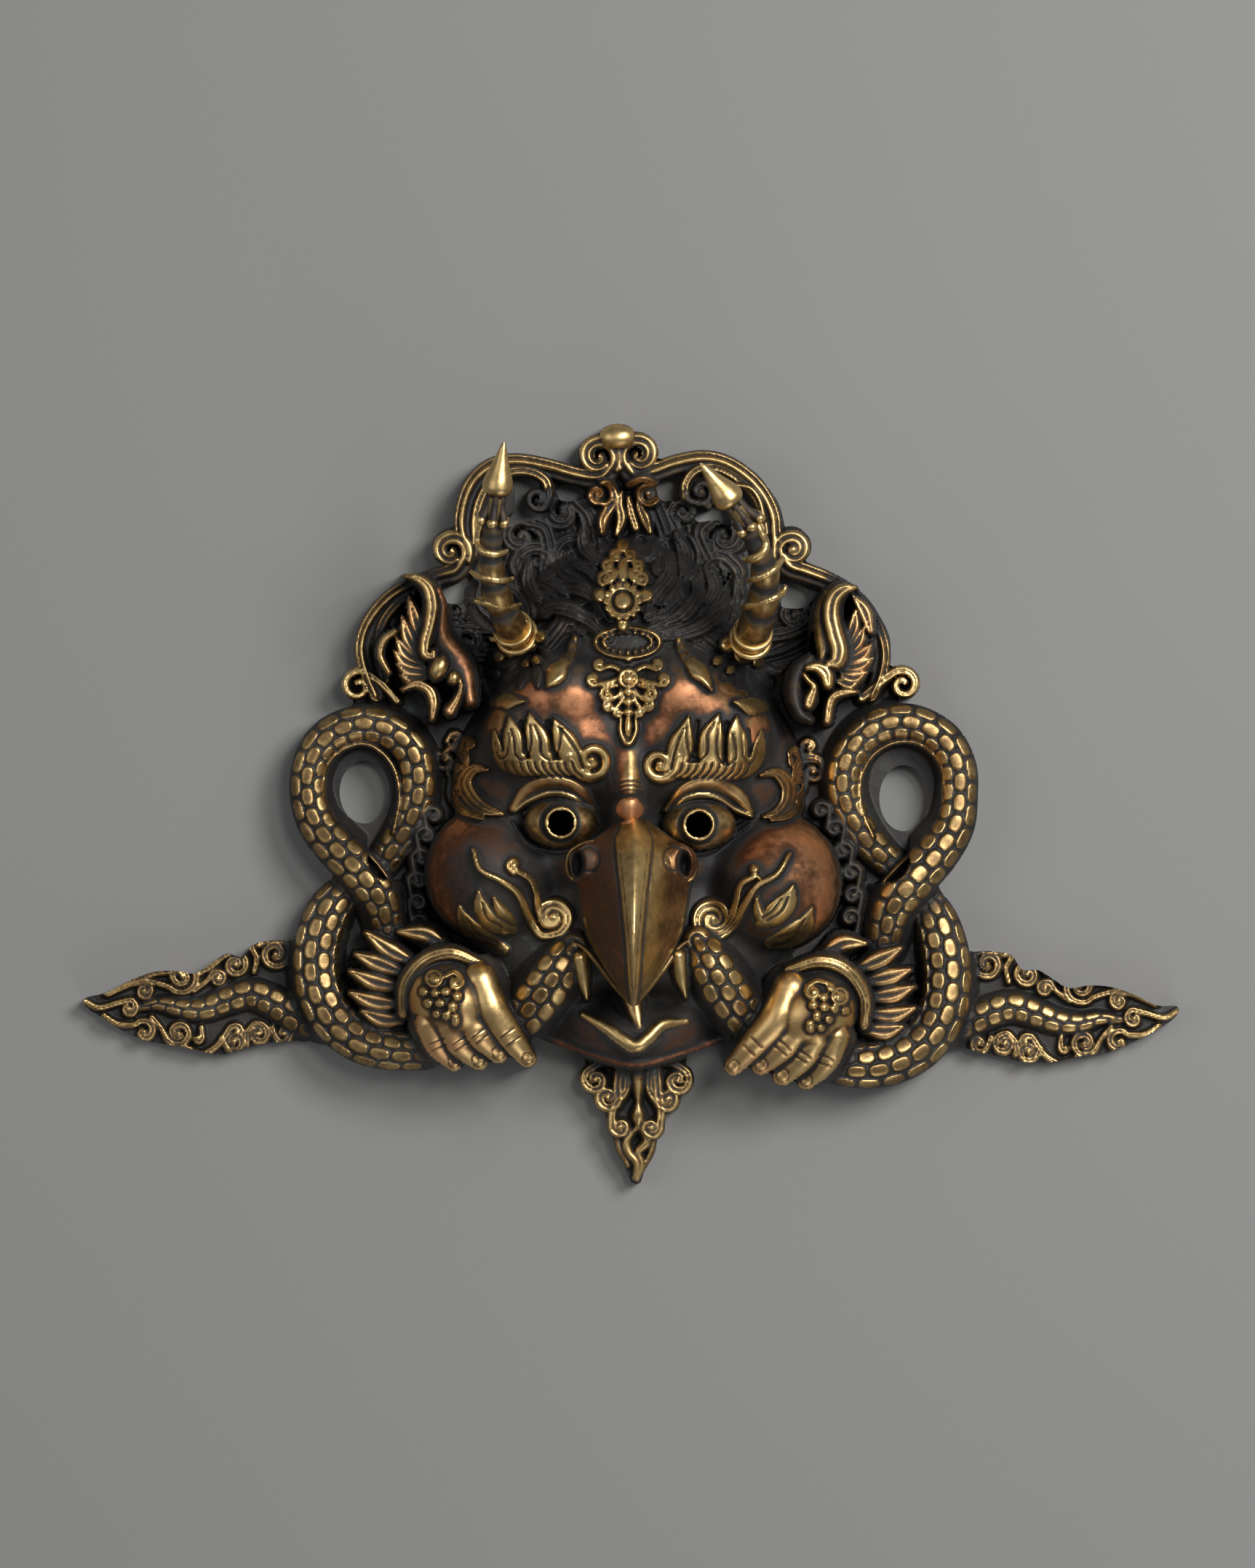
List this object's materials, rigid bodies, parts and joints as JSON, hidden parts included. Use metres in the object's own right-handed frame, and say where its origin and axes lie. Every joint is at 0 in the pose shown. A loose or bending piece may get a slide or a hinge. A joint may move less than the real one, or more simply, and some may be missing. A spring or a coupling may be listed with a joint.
{
  "type": "garuda mask",
  "caption": "Cast copper-alloy garuda mask with hooked beak, ringed horns, pierced scroll frame and looped serpents, hollow behind the face.",
  "frame": {"origin": "middle of the mask's footprint, on the flat back that it lies on", "axes": "+X to the mask's left cheek as one looks at the face (the viewer's right), +Y to the crown, +Z out of the face"},
  "size_m": [0.2842, 0.1972, 0.0634],
  "materials": {
    "cast_brass": "dark patina in the hollows, polished brass on the high points, copper-red skin"
  },
  "bodies": {
    "root": {"garuda_mask": "cast_brass"}
  },
  "joints": []
}
